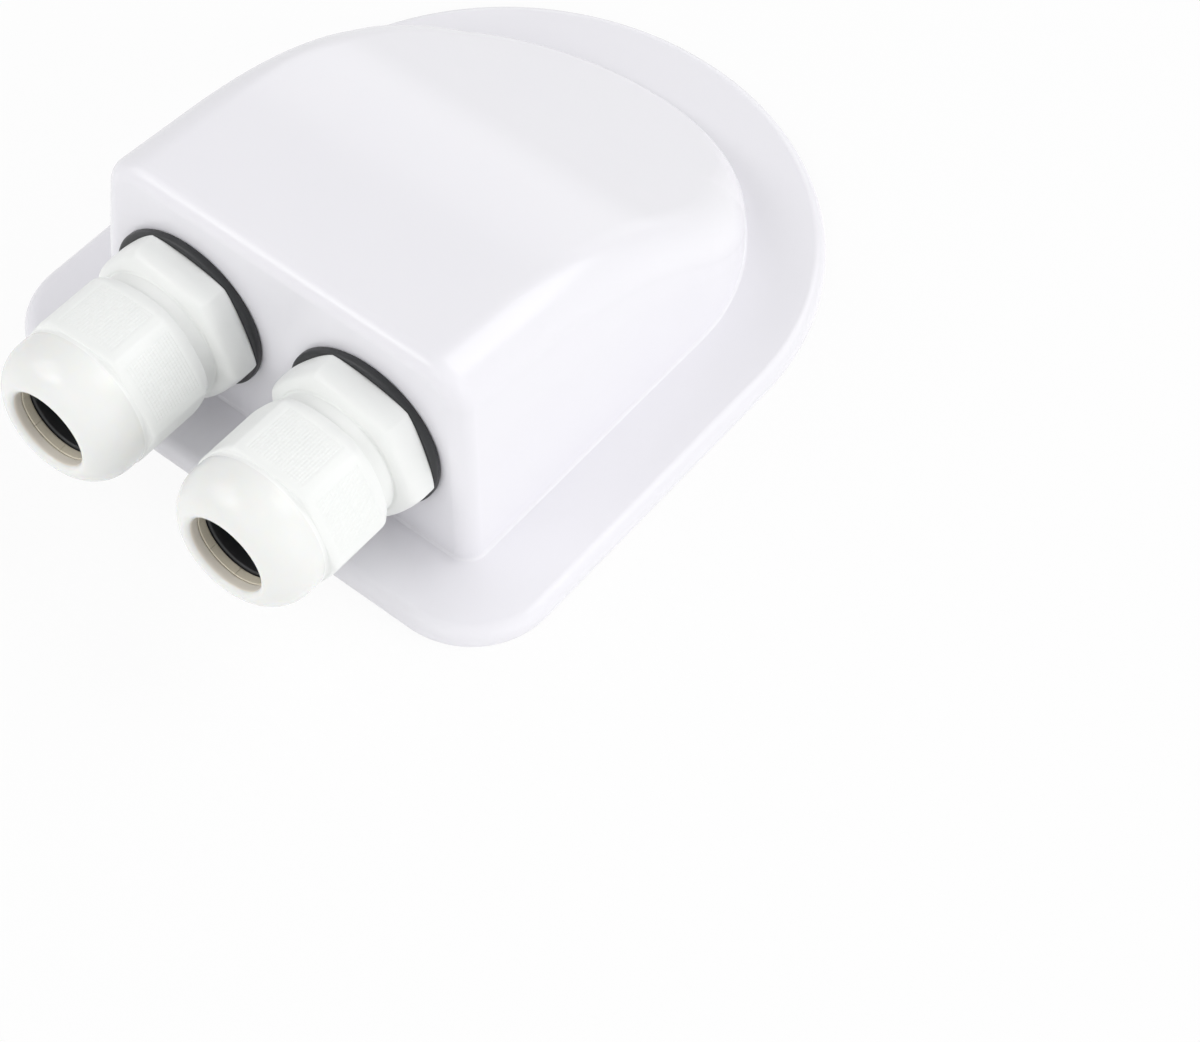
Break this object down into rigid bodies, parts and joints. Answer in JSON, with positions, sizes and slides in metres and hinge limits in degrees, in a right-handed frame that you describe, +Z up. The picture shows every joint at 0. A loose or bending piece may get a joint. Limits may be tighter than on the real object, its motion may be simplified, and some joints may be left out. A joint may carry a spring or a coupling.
{
  "type": "roof cable entry box",
  "caption": "White D-shaped roof cable entry box: a sloping hollow hood on a flat bonding flange, with cable glands in its front wall to lead solar cables through a roof.",
  "frame": {"origin": "on the underside, at the middle of the overall box of flange and glands", "axes": "+Z up from the roof, -Y out along the glands, +X to the right seen from the glands"},
  "size_m": [0.0978, 0.136, 0.0419],
  "materials": {
    "housing_abs": "glossy moulded white ABS",
    "gland_nylon": "satin moulded white nylon",
    "claw_nylon": "satin moulded off-white nylon",
    "rubber": "smooth black rubber"
  },
  "bodies": {
    "housing": {"housing": "housing_abs", "left_washer": "rubber", "left_gland_body": "gland_nylon", "left_locknut": "gland_nylon", "right_washer": "rubber", "right_gland_body": "gland_nylon", "right_locknut": "gland_nylon"},
    "left_insert": {"left_claw_insert": "claw_nylon", "left_seal": "rubber"},
    "left_nut": {"left_dome_nut": "gland_nylon"},
    "right_insert": {"right_claw_insert": "claw_nylon", "right_seal": "rubber"},
    "right_nut": {"right_dome_nut": "gland_nylon"}
  },
  "joints": [
    {"name": "left_insert_slide", "type": "slide", "parent": "housing", "child": "left_insert", "axis": [0, -1, 0], "range_m": [-0.0015, 0.006]},
    {"name": "left_nut_turn", "type": "hinge", "parent": "left_insert", "child": "left_nut", "pos_m": [-0.0167, -0.055, 0.021], "axis": [0, -1, 0], "range_deg": [-360, 1440]},
    {"name": "right_insert_slide", "type": "slide", "parent": "housing", "child": "right_insert", "axis": [0, -1, 0], "range_m": [-0.0015, 0.006]},
    {"name": "right_nut_turn", "type": "hinge", "parent": "right_insert", "child": "right_nut", "pos_m": [0.0167, -0.055, 0.021], "axis": [0, -1, 0], "range_deg": [-360, 1440]}
  ],
  "couplings": [
    {"joint": "left_insert_slide", "follows": "left_nut_turn", "m_per_rad": 0.00023873},
    {"joint": "right_insert_slide", "follows": "right_nut_turn", "m_per_rad": 0.00023873}
  ]
}
